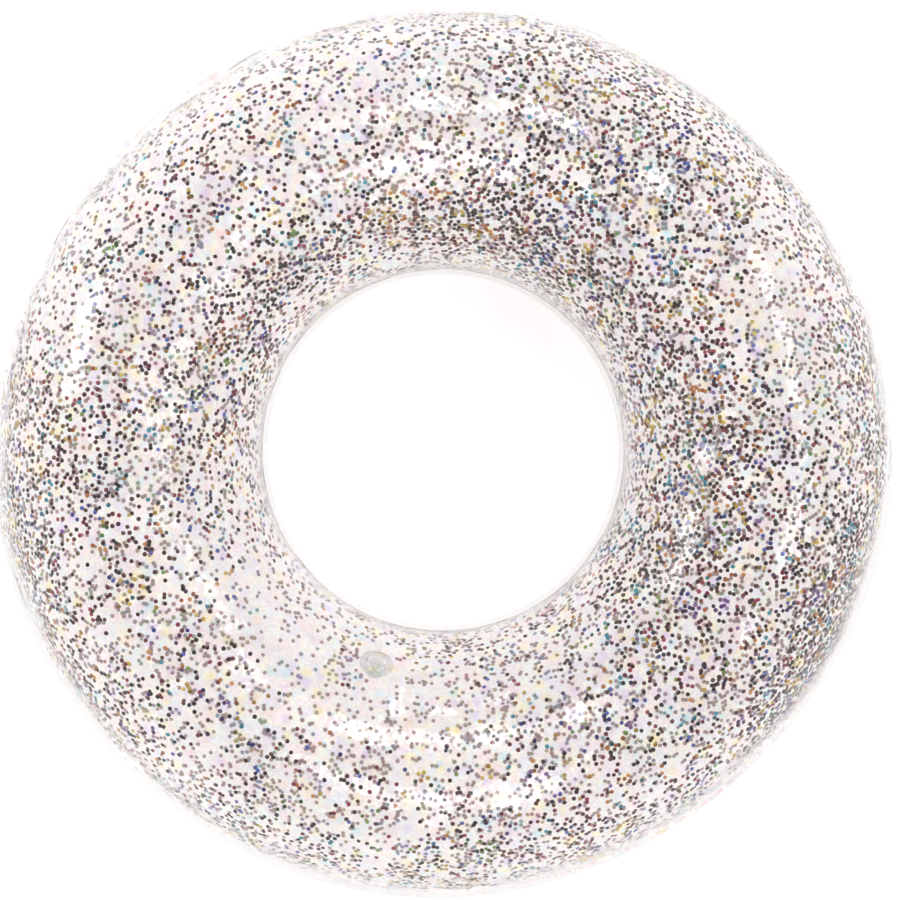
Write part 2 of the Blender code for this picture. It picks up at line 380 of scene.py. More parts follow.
def film_finish(name, veil):
    """Clear PVC film: sees through, mirrors more towards its edges, with a faint milky veil, pastel stains,
    and painted coloured light over patches of like foil dots.
    """
    tints = bpy.context.scene.film_colours
    cluster = bpy.context.scene.confetti_sizes.cluster
    f = Finish(name)
    x, y, z = f.axis_parts()
    reach = (x * x + y * y) ** 0.5
    patches = f.noise(52.0, 1.0)
    tones = (tints.blush, tints.clear, tints.cream, tints.frost, tints.lilac)
    tint = f.ramp(patches, list(zip((0.33, 0.42, 0.49, 0.56, 0.66), tones)))
    outer_weld = reach.smooth(OUTER_SEAM - 0.0008, OUTER_SEAM + 0.0006)
    inner_weld = 1.0 - reach.smooth(INNER_SEAM - 0.0006, INNER_SEAM + 0.0008)
    weld = (outer_weld + inner_weld).clamped()
    ripples = f.noise(30.0, 3.0)
    # noise that runs with the section, not round the ring, for the crinkles beside the welds
    along_rim = {0: x / reach * OUTER_R, 1: y / reach * OUTER_R, 2: z * 0.2}
    around = f.node("ShaderNodeCombineXYZ", sockets=along_rim)
    crinkle = f.noise(95.0, 1.0, around)
    near_seam = 1.0 - (z - MID).math("ABSOLUTE").smooth(0.0, 0.055)
    from_valve = f.vector_math("SUBTRACT", f.place, tuple(MOUTH))
    off_axis = f.vector_math("CROSS_PRODUCT", from_valve, tuple(VALVE_Z))
    valve_reach = f.vector_math("LENGTH", off_axis, (0.0, 0.0, 0.0), output="Value")
    depth = f.vector_math("DOT_PRODUCT", from_valve, tuple(VALVE_Z), output="Value")
    on_skirt = (1.0 - valve_reach.smooth(SKIRT_R - 0.0004, SKIRT_R + 0.0004)) * depth.smooth(-0.02, -0.012)
    ribs = (valve_reach * (tau / RIB_PITCH)).math("SINE")
    knurl = (reach * (tau / KNURL_PITCH)).math("SINE")
    relief = ripples + crinkle * near_seam * 0.9 + ribs * on_skirt * 0.08 + knurl * weld * 0.05
    normal = f.bump(relief, 0.8, 0.0036)
    rough = 0.08 + patches * 0.12
    gloss = f.principled(Base_Color=(1.0, 1.0, 1.0, 1.0), Metallic=1.0, Roughness=rough, Normal=normal)
    milk = f.principled(Base_Color=f.blend(weld, tint, (*tints.clear, 1.0)), Roughness=0.35, Normal=normal)
    through = f.clear(FILM_TINT)
    for stain_and_bounce, middle in STAIN_MIDDLES:
        stained = 1.0 - (patches - middle).math("ABSOLUTE").smooth(0.0, 0.06)
        through = f.mix(stained, through, f.clear(thinned(getattr(tints, stain_and_bounce), STAIN_STRENGTH)))
    cell = f.node("ShaderNodeTexVoronoi", sockets={"Vector": f.place, "Scale": 1 / cluster}, output="Color")
    patch = f.node("ShaderNodeSeparateColor", sockets={0: cell})
    inside = 1.0 - Wire(f, cell.socket.node.outputs["Distance"]).smooth(0.12, 0.52)
    # Painted coloured light: over each patch of like foil dots the film lets through a tint of that foil's
    # colour, standing in for the light the dots bounce.
    for foil, stain_and_bounce, strength in PAINTED_FOIL_BOUNCE:
        low, high = foil_span(foil)
        of_foil = patch.math("GREATER_THAN", low) * patch.math("LESS_THAN", high)
        through = f.mix(of_foil * inside, through, f.clear(thinned(getattr(tints, stain_and_bounce), strength)))
    through = f.mix(weld, through, f.clear(WELD_TINT))
    see = f.mix(f.mirroring(normal, 0.035) * (1.0 - weld * 0.6), through, gloss)
    haze = (veil + (patches - 0.5) * veil * 0.8 + weld * 0.02 + on_skirt * 0.10).clamped()
    return f.done(f.mix(haze, see, milk))


def soft_finish(name, colour, body, rough):
    """Soft moulded PVC: milky, half clear, with a fine moulded skin."""
    f = Finish(name)
    mottle = f.noise(220.0, 3.0)
    skin = f.noise(2600.0, 2.0)
    tint = f.ramp(mottle, [(0.35, colour), (0.65, thinned(colour, 0.35))])
    normal = f.bump(skin + mottle * 3.0, 0.35, 0.00012)
    solid = f.principled(Base_Color=tint, Roughness=rough + mottle * 0.12, Normal=normal)
    solidity = (body + f.mirroring(normal, 0.0) * (1.0 - body) + (mottle - 0.5) * 0.12).clamped()
    return f.done(f.mix(solidity, f.clear((0.985, 0.992, 0.994)), solid))


DULL_FOIL_STOPS = (0.36, 0.70, 0.97)  # shares of the dots up to each of a foil's three tones
BRIGHT_FOIL_STOPS = (0.15, 0.50, 0.92)
BACK_PALENESS = 0.84
FOIL_FACES = {  # three tones of each foil, from its darkest dots to its palest
    "black": ((0.012, 0.003, 0.003), (0.060, 0.014, 0.011), (0.200, 0.080, 0.065)),
    "crimson": ((0.050, 0.006, 0.010), (0.170, 0.012, 0.030), (0.460, 0.070, 0.110)),
    "indigo": ((0.012, 0.010, 0.050), (0.020, 0.035, 0.230), (0.130, 0.190, 0.600)),
    "teal": ((0.006, 0.035, 0.045), (0.010, 0.150, 0.220), (0.070, 0.450, 0.560)),
    "gold": ((0.130, 0.065, 0.010), (0.520, 0.320, 0.030), (0.850, 0.680, 0.180)),
    "orange": ((0.100, 0.025, 0.008), (0.480, 0.130, 0.025), (0.800, 0.380, 0.120)),
    "violet": ((0.025, 0.008, 0.035), (0.110, 0.030, 0.160), (0.360, 0.200, 0.480)),
    "green": ((0.010, 0.025, 0.008), (0.040, 0.120, 0.020), (0.280, 0.480, 0.100)),
}


def foil_finish(name, tones, stops, paleness):
    """Foil with a thin tinted lacquer: each dot has its own tone, and the back is paler."""
    f = Finish(name)
    tone = f.node("ShaderNodeAttribute", {"attribute_name": "tone"}, output="Fac")
    mist = [0.42 + 0.20 * c / max(tones[2]) for c in tones[2]]
    faded = [tuple(c + (m - c) * paleness for c, m in zip(colour, mist)) for colour in tones]
    tint = f.ramp(tone, list(zip(stops, faded)))
    normal = f.bump(f.noise(1400.0, 2.0), 0.25, 0.00004)
    metallic, rough = 0.35 * (1 - paleness), 0.26 + tone * 0.2
    return f.done(f.principled(Base_Color=tint, Metallic=metallic, Roughness=rough, Normal=normal))


# Meshes


def linked(name, data):
    """A new object in the scene."""
    obj = bpy.data.objects.new(name, data)
    bpy.context.scene.collection.objects.link(obj)
    return obj


@contextmanager
def edited(mesh):
    """The mesh as a bmesh, written back at the end."""
    bm = bmesh.new()
    bm.from_mesh(mesh)
    yield bm
    bm.to_mesh(mesh)
    bm.free()


def shown(name, mesh, finish, body="ring", replaces=()):
    """A finished piece: linked, with its material, riding on its body."""
    obj = linked(name, mesh)
    if finish:
        mesh.materials.clear()
        mesh.materials.append(finish)
    mesh.shade_smooth()
    if body:
        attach(obj, body)
    if replaces:
        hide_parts(*replaces)
    return obj


def evaluated_mesh(obj):
    """The object's mesh with its modifiers applied; the object is removed."""
    mesh = bpy.data.meshes.new_from_object(obj.evaluated_get(bpy.context.evaluated_depsgraph_get()))
    bpy.data.objects.remove(obj)
    return mesh


def grid_mesh(name, points, closed_rows=False):
    """Quads over points[row, step], closed round the steps, and over the rows too if asked."""
    rows, steps = points.shape[:2]
    mesh = bpy.data.meshes.new(name)
    row = np.arange(rows if closed_rows else rows - 1)[:, None]
    step = np.arange(steps)[None, :]
    following, beside = (row + 1) % rows, (step + 1) % steps
    corners = (row * steps + step, following * steps + step, following * steps + beside, row * steps + beside)
    faces = np.stack([c.astype(np.int32) for c in np.broadcast_arrays(*corners)], axis=-1).reshape(-1, 4)
    mesh.vertices.add(rows * steps)
    mesh.vertices.foreach_set("co", points.astype(np.float32).ravel())
    mesh.loops.add(faces.size)
    mesh.loops.foreach_set("vertex_index", faces.ravel())
    mesh.polygons.add(len(faces))
    mesh.polygons.foreach_set("loop_start", np.arange(0, faces.size, 4, dtype=np.int32))
    mesh.update(calc_edges=True)
    return mesh


def modified(mesh, *changes):
    """The mesh after some modifiers, each given as (kind, settings)."""
    holder = linked("holder", mesh)
    for kind, settings in changes:
        modifier = holder.modifiers.new(kind.lower(), kind)
        for name, value in settings.items():
            setattr(modifier, name, value)
    bpy.context.view_layer.update()
    return evaluated_mesh(holder)


def rounded(corners, radius, arc=5, closed=True):
    """The outline with each corner turned into a small arc. A corner may carry its own radius."""
    points = [Vector(c[:2]) for c in corners]
    count = len(points)
    out = []
    for i, here in enumerate(points):
        if not closed and i in (0, count - 1):
            out.append(tuple(here))
            continue
        before, after = points[i - 1], points[(i + 1) % count]
        wanted = corners[i][2] if len(corners[i]) > 2 else radius
        to_before, to_after = before - here, after - here
        cut = min(wanted, to_before.length * 0.45, to_after.length * 0.45)
        start, end = here + to_before.normalized() * cut, here + to_after.normalized() * cut
        for k in range(arc + 1):
            t = k / arc
            out.append(tuple(start * (1 - t) ** 2 + here * 2 * t * (1 - t) + end * t * t))
    return out


def turned_mesh(name, outline, steps=72, closed=True, shift=None):
    """A solid of revolution round the valve's axis, from (radius, height) points that run down its outside.

    shift, if given, moves each (x, y, height) point along the axis."""
    angle = np.arange(steps) / steps * tau
    radius, height = np.array(outline).T
    x = radius[:, None] * np.cos(angle)
    y = radius[:, None] * np.sin(angle)
    z = np.repeat(height[:, None], steps, axis=1)
    if shift is not None:
        z = z + shift(x, y, z)
    mesh = grid_mesh(name, np.stack([x, y, z], axis=-1), closed_rows=closed)
    if not closed:
        with edited(mesh) as bm:
            bmesh.ops.remove_doubles(bm, verts=bm.verts, dist=1e-7)
    mesh.transform(VALVE)
    return mesh


# The two films


def waves(angle, seed, count, low, high):
    """A smooth random wave round the ring, about -1 to 1, of whole numbers of waves between low and high."""
    random = np.random.default_rng(seed)
    total = np.zeros_like(angle)
    for _ in range(count):
        total += np.cos(random.integers(low, high) * angle + random.uniform(0, tau))
    return total / np.sqrt(count)


def lumps(azimuth, run, seed, count=16):
    """Broad soft unevenness over the film, about -1 to 1, by azimuth and distance over the section."""
    random = np.random.default_rng(seed)
    total = np.zeros((run.size, azimuth.size))
    for _ in range(count):
        around, over = random.integers(4, 24), random.uniform(-34, 34)
        total += np.cos(around * azimuth[None, :] + over * run[:, None] + random.uniform(0, tau))
    return total / np.sqrt(count)


def folds(azimuth, run, seed, count, depth, reach, seam_r):
    """Depth of the puckers that run off a seam, at each azimuth and distance from it."""
    random = np.random.default_rng(seed)
    total = np.zeros((run.size, azimuth.size))
    middles = (np.arange(count) + random.uniform(-0.45, 0.45, count)) / max(count, 1) * tau
    for middle in middles:
        length = reach * random.uniform(0.35, 1.9)
        width = random.uniform(0.0028, 0.0062)
        size = depth * random.uniform(0.25, 1.0)
        lean = random.normal(0, 0.18)
        turn = (azimuth[None, :] - middle + pi) % tau - pi
        across = (turn * seam_r - lean * run[:, None]) / (width + 0.12 * run[:, None])
        along = run[:, None] / (0.45 * length)
        total += size * np.exp(-np.abs(across) ** 1.6) * along * np.exp(1 - along)
    return total


CROWDED_ENDS = 0.66  # how much closer the rows lie beside the welds: 0 not at all, 1 most
OUTER_BAND_ROWS, INNER_BAND_ROWS = 4, 3


def section_rows(rows):
    """The upper film's section from the outer weld's edge over the crown to the inner weld's edge.

    Gives radius, lift above the middle plane, outward normal, and the distances run from both seams."""
    share = np.linspace(0, 1, rows + 1)
    angle = pi * (share - CROWDED_ENDS * np.sin(tau * share) / tau)
    radius = MIDDLE + HALF_WIDTH * np.cos(angle) + CROWN_SHIFT * np.sin(angle) ** 2
    lift = SEAM_LIFT + RISE * np.sin(angle)
    out = RISE * np.cos(angle)
    up = HALF_WIDTH * np.sin(angle) - 2 * CROWN_SHIFT * np.sin(angle) * np.cos(angle)
    size = np.hypot(out, up)
    run = np.concatenate([[0], np.cumsum(np.hypot(np.diff(radius), np.diff(lift)))])
    outer_band = np.linspace(OUTER_R, OUTER_SEAM, OUTER_BAND_ROWS + 1)[:-1]
    inner_band = np.linspace(INNER_SEAM, HOLE_R, INNER_BAND_ROWS + 1)[1:]

    def with_bands(values, outer, inner):
        return np.concatenate([np.full(OUTER_BAND_ROWS, outer), values, np.full(INNER_BAND_ROWS, inner)])

    radius = np.concatenate([outer_band, radius, inner_band])
    lift = with_bands(lift, SEAM_LIFT, SEAM_LIFT)
    out = with_bands(out / size, 0.0, 0.0)
    up = with_bands(up / size, 1.0, 1.0)
    return radius, lift, out, up, with_bands(run, 0.0, run[-1]), with_bands(run[-1] - run, run[-1], 0.0)


def outline_swell(azimuth):
    """How far the ring's outline stands off a true circle: a hand-made ring is never quite round."""
    return 0.0030 * np.cos(2 * (azimuth - radians(28))) + 0.0024 * np.cos(4 * (azimuth - radians(88)))


def seat_dimple(points):
    """Sinks the film softly towards the valve, so that its outer face meets the valve's zero."""
    from_valve = points - np.array(MOUTH)
    depth = from_valve @ np.array(VALVE_Z)
    off_axis = np.linalg.norm(np.cross(from_valve, np.array(VALVE_Z)), axis=-1)
    near = np.where(np.abs(depth) < 0.05, off_axis, 1.0)
    height = depth[np.unravel_index(near.argmin(), near.shape)]
    sink = (height + 0.0004) * np.exp(-((near / 0.030) ** 2))
    return points - sink[..., None] * np.array(VALVE_Z)


def laid_on_floor(height, softness=0.0006):
    """Flattens what would dip below the floor, over a narrow band of contact."""
    eased = (height + softness) ** 2 / (4 * softness)
    return np.where(height > softness, height, np.where(height < -softness, 0.0, eased))


def film_points(side, steps, rows):
    """Points of one film's outer face, [row, step], from the outer weld's edge to the inner one's."""
    sizes = bpy.context.scene.ring_sizes
    azimuth = np.arange(steps) / steps * tau
    radius, lift, out, up, run, back = section_rows(rows)
    wall = (out != 0.0)[:, None]
    fold_depth, fold_reach = sizes.fold_depth, sizes.fold_reach
    push = sizes.slackness * lumps(azimuth, run, 11 + side) * np.clip(back / 0.03, 0, 1)[:, None]
    push -= folds(azimuth, run, 21, sizes.folds, fold_depth, fold_reach, OUTER_SEAM)
    push -= folds(azimuth, run, 31 + side, sizes.folds // 2, fold_depth * 0.5, fold_reach * 2.2, OUTER_SEAM)
    push -= folds(azimuth, back, 41 + side, sizes.folds // 2, fold_depth * 0.28, fold_reach * 0.6, INNER_SEAM)
    push = np.where(wall, push, 0.0)
    rim_share = np.clip((radius - HOLE_R) / (OUTER_R - HOLE_R), 0, 1)[:, None] ** 1.4
    buckle = sizes.buckle * waves(azimuth, 51, 9, 38, 96)[None, :] * np.exp(-run / 0.022)[:, None]
    hole_wave = sizes.buckle * 0.3 * waves(azimuth, 52, 6, 20, 44)[None, :] * np.exp(-back / 0.012)[:, None]
    reach = radius[:, None] + outline_swell(azimuth)[None, :] * rim_share + out[:, None] * push
    height = MID + side * (lift[:, None] + up[:, None] * push) + buckle + hole_wave
    height = laid_on_floor(height - 0.0007 * (lift > RISE * 0.9)[:, None] * (side < 0))
    x, y = reach * np.cos(azimuth), reach * np.sin(azimuth)
    points = np.stack([x, y, height], axis=-1)
    return seat_dimple(points) if side < 0 else points[::-1]


def film_mesh(name, side, steps, rows):
    return grid_mesh(name, film_points(side, steps, rows))


def valve_hole_cutter():
    """A round bar on the valve's axis that cuts the hole for its mouth."""
    mesh = bpy.data.meshes.new("valve_hole")
    with edited(mesh) as bm:
        bmesh.ops.create_cone(bm, cap_ends=True, segments=64, radius1=HOLE, radius2=HOLE, depth=0.012)
    cutter = linked("valve_hole", mesh)
    cutter.matrix_world = VALVE
    return cutter


class RING_OT_films(bpy.types.Operator):
    """Build the upper and the lower film, welded at both edges, with the puckers of a blown-up ring"""

    bl_idname = "swim_ring.films"
    bl_label = "Films"

    def execute(self, context):
        sizes = context.scene.ring_sizes
        thickness = {"thickness": FILM, "offset": -1.0, "use_even_offset": False}
        upper = modified(film_mesh("upper_skin", 1, sizes.steps, sizes.rows), ("SOLIDIFY", thickness))
        lower = modified(film_mesh("lower_skin", -1, sizes.steps, sizes.rows), ("SOLIDIFY", thickness))
        cutter = valve_hole_cutter()
        lower = modified(lower, ("BOOLEAN", {"operation": "DIFFERENCE", "solver": "EXACT", "object": cutter}))
        bpy.data.objects.remove(cutter)
        for name, mesh, node, veil in (
            ("clear_upper_film", upper, "upper_film", UPPER_VEIL),
            ("clear_lower_film", lower, "lower_film", LOWER_VEIL),
        ):
            obj = shown(name, mesh, film_finish(name, veil), replaces=[node])
        return {"FINISHED"}


# The valve's pieces


def film_height():
    """A function that gives the lower film's height over the valve's zero at each (x, y) about its axis."""
    sizes = bpy.context.scene.ring_sizes
    mesh = film_mesh("probe", -1, sizes.steps, sizes.rows)
    tree = BVHTree.FromPolygons([v.co for v in mesh.vertices], [p.vertices for p in mesh.polygons])
    bpy.data.meshes.remove(mesh)

    def height(x, y):
        flat = np.empty(x.size)
        for i, (px, py) in enumerate(zip(x.ravel(), y.ravel())):
            start = VALVE @ Vector((px, py, 0.02))
            flat[i] = 0.02 - tree.ray_cast(start, -VALVE_Z)[3]
        return flat.reshape(x.shape)

    return height


def walled(middle_line, thickness, tip=0.5):
    """The outline of a thin wall along middle_line, given from its outer rim inwards or downwards."""
    line = [Vector(p) for p in middle_line]
    left, right = [], []
    for i, here in enumerate(line):
        along = (line[min(i + 1, len(line) - 1)] - line[max(i - 1, 0)]).normalized()
        half = thickness / 2 * (tip if i in (0, len(line) - 1) else 1.0)
        side = Vector((-along.y, along.x)) * half
        left.append(tuple(here + side))
        right.append(tuple(here - side))
    return left + right[::-1]


def smooth_line(points, count):
    """Points spread along a smooth curve through the given ones."""
    knots = np.array(points, dtype=float)
    padded = np.vstack([2 * knots[0] - knots[1], knots, 2 * knots[-1] - knots[-2]])
    out = []
    for t in np.linspace(0, len(knots) - 1, count):
        i = min(int(t), len(knots) - 2)
        a, b, c, d = padded[i : i + 4]
        u = t - i
        bend, twist = 2 * a - 5 * b + 4 * c - d, 3 * b - a - 3 * c + d
        out.append(0.5 * (2 * b + (c - a) * u + bend * u**2 + twist * u**3))
    return np.array(out)


def joined(mesh, other):
    """Two meshes made one solid; the other one is used up."""
    tool = linked("tool", other)
    result = modified(mesh, ("BOOLEAN", {"operation": "UNION", "solver": "EXACT", "object": tool}))
    bpy.data.objects.remove(tool)
    return result


def plate_mesh(name, outline, top, bottom, edge=0.0002):
    """A flat plate in the valve's frame, from its outline seen from outside, with rounded edges."""
    mesh = bpy.data.meshes.new(name)
    with edited(mesh) as bm:
        face = bm.faces.new([bm.verts.new((x, y, bottom)) for x, y in outline])
        moved = bmesh.ops.extrude_face_region(bm, geom=[face])["geom"]
        raised = [g for g in moved if isinstance(g, bmesh.types.BMVert)]
        bmesh.ops.translate(bm, verts=raised, vec=(0, 0, top - bottom))
        bmesh.ops.recalc_face_normals(bm, faces=bm.faces)
        flat = [e for e in bm.edges if abs(e.verts[0].co.z - e.verts[1].co.z) < 1e-7]
        bmesh.ops.bevel(bm, geom=flat, offset=edge, segments=3, affect="EDGES", clamp_overlap=True)
    mesh.transform(VALVE)
    return mesh


def valve_pvc(name, body, rough):
    return soft_finish(name, tuple(bpy.context.scene.film_colours.valve), body, rough)


class RING_OT_skirt(bpy.types.Operator):
    """Build the valve's skirt, welded under the lower film, and its thin bellows"""

    bl_idname = "swim_ring.skirt"
    bl_label = "Valve skirt and bellows"

    def execute(self, context):
        height = film_height()
        thick, margin, hole_edge, under_film = 0.00045, 0.0006, HOLE + 0.00005, -FILM - 0.00006
        corners = [(SKIRT_R, 0.0), (SKIRT_R, -thick), (hole_edge, -thick), (hole_edge, 0.0)]
        arcs = rounded(corners, 0.0002, arc=3)
        half = len(arcs) // 2
        across = np.linspace(HOLE + margin, SKIRT_R - margin, 9)
        outline = [(r, 0.0) for r in across] + arcs[:half] + [(r, -thick) for r in across[::-1]] + arcs[half:]
        skirt = turned_mesh("valve_skirt", outline, 96, shift=lambda x, y, z: height(x, y) + under_film)
        pvc = valve_pvc("skirt_pvc", 0.10, 0.28)
        shown("valve_skirt", skirt, pvc, replaces=["valve_flange"])

        middle = smooth_line(
            [
                (HOLE - 0.0002, -0.0001),
                (BELLOWS_R - 0.0001, -0.0009),
                (BELLOWS_R - 0.0004, -0.0030),
                (BELLOWS_R - 0.0012, -0.0052),
                (BELLOWS_R - 0.0008, -0.0074),
                (BELLOWS_R - 0.0019, -0.0104),
                (BELLOWS_FOOT_R + 0.0004, -0.0136),
                (COLLAR_R + 0.0003, STEM_FOOT + 0.0010),
            ],
            44,
        )

        def rim_rise(x, y, z):
            near_rim = np.clip(1 + z / 0.002, 0, 1)
            return (height(x, y) - 0.0001) * near_rim

        bellows = turned_mesh("valve_bellows", walled(middle, 0.0004), 96, shift=rim_rise)
        boot = valve_pvc("bellows_pvc", 0.10, 0.24)
        obj = shown("valve_boot", bellows, boot, body=None, replaces=["valve_bellows"])
        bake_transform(obj)
        return {"FINISHED"}


class RING_OT_stem(bpy.types.Operator):
    """Build the valve's stem and the strap ring round it"""

    bl_idname = "swim_ring.stem"
    bl_label = "Valve stem"

    def execute(self, context):
        top = -MOUTH_DEPTH
        collar_top = STEM_FOOT + COLLAR_THICK
        outline = [(BORE_R, top, 0.0003), (STEM_R, top, 0.0005)]
        for z in (-0.0022, -0.0032, -0.0042):  # fine ribs that help wet fingers
            outline += [(STEM_R, z + 0.0002), (STEM_R - 0.00016, z), (STEM_R, z - 0.0002)]
        outline += [
            (STEM_R, collar_top, 0.0004),
            (COLLAR_R, collar_top, 0.0003),
            (COLLAR_R, STEM_FOOT, 0.0003),
            (BORE_R + 0.0003, STEM_FOOT, 0.0002),
            (BORE_R + 0.0001, STEM_FOOT + 0.0010),
            (BORE_R + 0.0001, -0.0048, 0.0003),
            (BORE_R, -0.0040, 0.0003),
        ]
        stem = turned_mesh("valve_stem_tube", rounded(outline, 0.00012, arc=3), 96)
        pvc = valve_pvc("stem_pvc", 0.16, 0.22)
        shown("valve_stem_tube", stem, pvc, body="valve", replaces=["valve_stem"])

        inner, low = STEM_R + 0.00012, RING_TOP - RING_THICK
        groove = (RING_TOP + low) / 2
        outline = [
            (inner, RING_TOP),
            (RING_R, RING_TOP, 0.0005),
            (RING_R, groove + 0.0003),
            (RING_R - 0.0002, groove),
            (RING_R, groove - 0.0003),
            (RING_R, low, 0.0005),
            (inner, low),
        ]
        ring = turned_mesh("strap_collar", rounded(outline, 0.00015, arc=3), 96)
        pvc = valve_pvc("strap_pvc", 0.24, 0.26)
        shown("strap_collar", ring, pvc, body="valve", replaces=["strap_ring"])
        return {"FINISHED"}


class RING_OT_plug(bpy.types.Operator):
    """Build the plug: a low domed cap with a sunk ring, a sealing shank and a ribbed lift tab"""

    bl_idname = "swim_ring.plug"
    bl_label = "Plug"

    def execute(self, context):
        edge = CAP_TOP - 0.0004
        outline = [
            (0.0, CAP_TOP - 0.00025),
            (0.0030, CAP_TOP - 0.00025, 0.0003),
            (0.0034, CAP_TOP, 0.0003),
            (0.0058, CAP_TOP - 0.0001, 0.0006),
            (CAP_R, edge - 0.0001, 0.0006),
            (CAP_R, CAP_BOTTOM, 0.0004),
            (SHANK_R, CAP_BOTTOM, 0.0004),
            (SHANK_R, -0.0032, 0.0002),
            (SHANK_R + 0.00018, -0.0036, 0.0002),
            (SHANK_R, -0.0040, 0.0002),
            (SHANK_R, -0.0070, 0.0010),
            (SHANK_R - 0.0005, SHANK_TIP, 0.0005),
            (0.0022, SHANK_TIP, 0.0003),
            (0.0020, SHANK_TIP + 0.0030, 0.0005),
            (0.0, SHANK_TIP + 0.0034),
        ]
        body = turned_mesh("plug_body", rounded(outline, 0.0002, arc=4, closed=False), 96, closed=False)
        half = TAB_WIDTH / 2
        root, reach = CAP_R - 0.0018, TAB_REACH
        tip = half * 0.9
        corners = [(-half, -root), (-half, -reach, tip), (half, -reach, tip), (half, -root)]
        tab = rounded(corners, 0.0002, arc=10)
        tab = plate_mesh("lift_tab", tab, edge + 0.0001, edge - 0.0009, 0.00022)
        body = joined(body, tab)
        wide, thin = 0.0015, 0.0003
        for place in (0.0098, 0.0106, 0.0114):
            rib = [(-wide, -place), (wide, -place), (wide, -place - thin), (-wide, -place - thin)]
            rib = rounded(rib, thin)
            body = joined(body, plate_mesh("grip_rib", rib, edge + 0.00028, edge - 0.0002, 0.00008))
        pvc = valve_pvc("plug_pvc", 0.30, 0.24)
        shown("plug_with_tab", body, pvc, body="stopper", replaces=["plug"])
        return {"FINISHED"}


class RING_OT_strap(bpy.types.Operator):
    """Build the flat strap that keeps the plug with the stem"""

    bl_idname = "swim_ring.strap"
    bl_label = "Plug strap"

    def execute(self, context):
        line = smooth_line(
            [
                (CAP_R - 0.0002, 0.0005),
                (CAP_R + 0.0009, -0.0001),
                (CAP_R + 0.0006, -0.0016),
                (RING_R + 0.0009, -0.0048),
                (RING_R + 0.0006, RING_TOP - 0.0004),
                (RING_R - 0.0001, RING_TOP - 0.0012),
            ],
            40,
        )
        along = np.gradient(line, axis=0)
        along /= np.linalg.norm(along, axis=1)[:, None]
        side = np.stack([along[:, 1], -along[:, 0]], axis=1)
        end_share = np.abs(np.linspace(-1, 1, len(line))) ** 6
        width = STRAP_WIDTH * (1 + 0.35 * end_share)
        turn = np.arange(20) / 20 * tau
        across = np.sign(np.cos(turn)) * np.abs(np.cos(turn)) ** 0.4
        through = np.sign(np.sin(turn)) * np.abs(np.sin(turn)) ** 0.5
        rows = []
        for centre, out, wide in zip(line, side, width):
            x = -across * wide / 2
            y, z = centre[:, None] - out[:, None] * through * STRAP_THICK / 2
            rows.append(np.stack([x, y, z], axis=-1))
        mesh = grid_mesh("plug_tether", np.array(rows))
        with edited(mesh) as bm:
            bmesh.ops.holes_fill(bm, edges=[e for e in bm.edges if e.is_boundary])
            bmesh.ops.recalc_face_normals(bm, faces=bm.faces)
        mesh.transform(VALVE)
        pvc = valve_pvc("tether_pvc", 0.30, 0.26)
        obj = shown("plug_tether", mesh, pvc, body=None, replaces=["plug_strap"])
        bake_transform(obj)
        return {"FINISHED"}


class RING_OT_flap(bpy.types.Operator):
    """Build the thin check flap that closes the stem's inner end"""

    bl_idname = "swim_ring.flap"
    bl_label = "Check flap"

    def execute(self, context):
        top = STEM_FOOT - 0.0003
        half = 0.0020  # of the straight edge at its hinge
        spread = np.arcsin(half / FLAP_R)
        turns = np.linspace(-pi + spread, pi - spread, 56)
        outline = [(FLAP_R * cos(t), FLAP_R * sin(t)) for t in turns]
        outline += [(FLAP_HINGE_X + 0.0003, half), (FLAP_HINGE_X, half - 0.0004)]
        outline += [(FLAP_HINGE_X, 0.0004 - half), (FLAP_HINGE_X + 0.0003, -half)]
        mesh = plate_mesh("flap_disc", outline, top, top - FLAP_THICK, 0.00012)
        root = top - FLAP_THICK + 0.0003
        boss = [(0.0, root), (0.0014, root), (0.0017, root - 0.0004), (0.0, root - 0.0004)]
        mesh = joined(mesh, turned_mesh("flap_boss", boss, 48, closed=False))
        pvc = valve_pvc("flap_pvc", 0.20, 0.3)
        shown("check_flap_disc", mesh, pvc, body="flap", replaces=["check_flap"])
        return {"FINISHED"}


# Confetti

# Where the dots have gathered or left the film bare: azimuth in degrees, distance from the ring's axis,
# half-widths round and across, and how much the crowding changes there.
DRIFTS = (
    (70, 0.238, 0.100, 0.034, 1.00),
    (112, 0.238, 0.120, 0.026, 0.70),
    (150, 0.240, 0.150, 0.030, 0.45),
    (175, 0.205, 0.150, 0.028, 0.45),
    (30, 0.240, 0.130, 0.030, 0.55),
    (0, 0.270, 0.110, 0.050, 0.60),
    (338, 0.250, 0.130, 0.050, 0.65),
    (334, 0.424, 0.095, 0.026, 2.80),
    (2, 0.432, 0.150, 0.020, 0.90),
    (194, 0.432, 0.170, 0.020, 0.90),
    (66, 0.226, 0.070, 0.020, 0.60),
    (322, 0.345, 0.150, 0.070, 0.35),
    (60, 0.360, 0.130, 0.060, 0.55),
    (186, 0.340, 0.100, 0.060, 0.25),
    (232, 0.235, 0.200, 0.060, -0.45),
    (265, 0.250, 0.160, 0.060, -0.30),
    (120, 0.430, 0.330, 0.026, -0.40),
    (100, 0.350, 0.110, 0.050, -0.20),
    (20, 0.352, 0.090, 0.050, -0.30),
    (158, 0.385, 0.050, 0.040, -0.25),
)


CLUMPS = ((7.0, 0.18), (19.0, 0.34), (46.0, 0.42), (88.0, 0.34))  # unevenness: scale per metre, strength
LEAST_CROWDING = 0.02


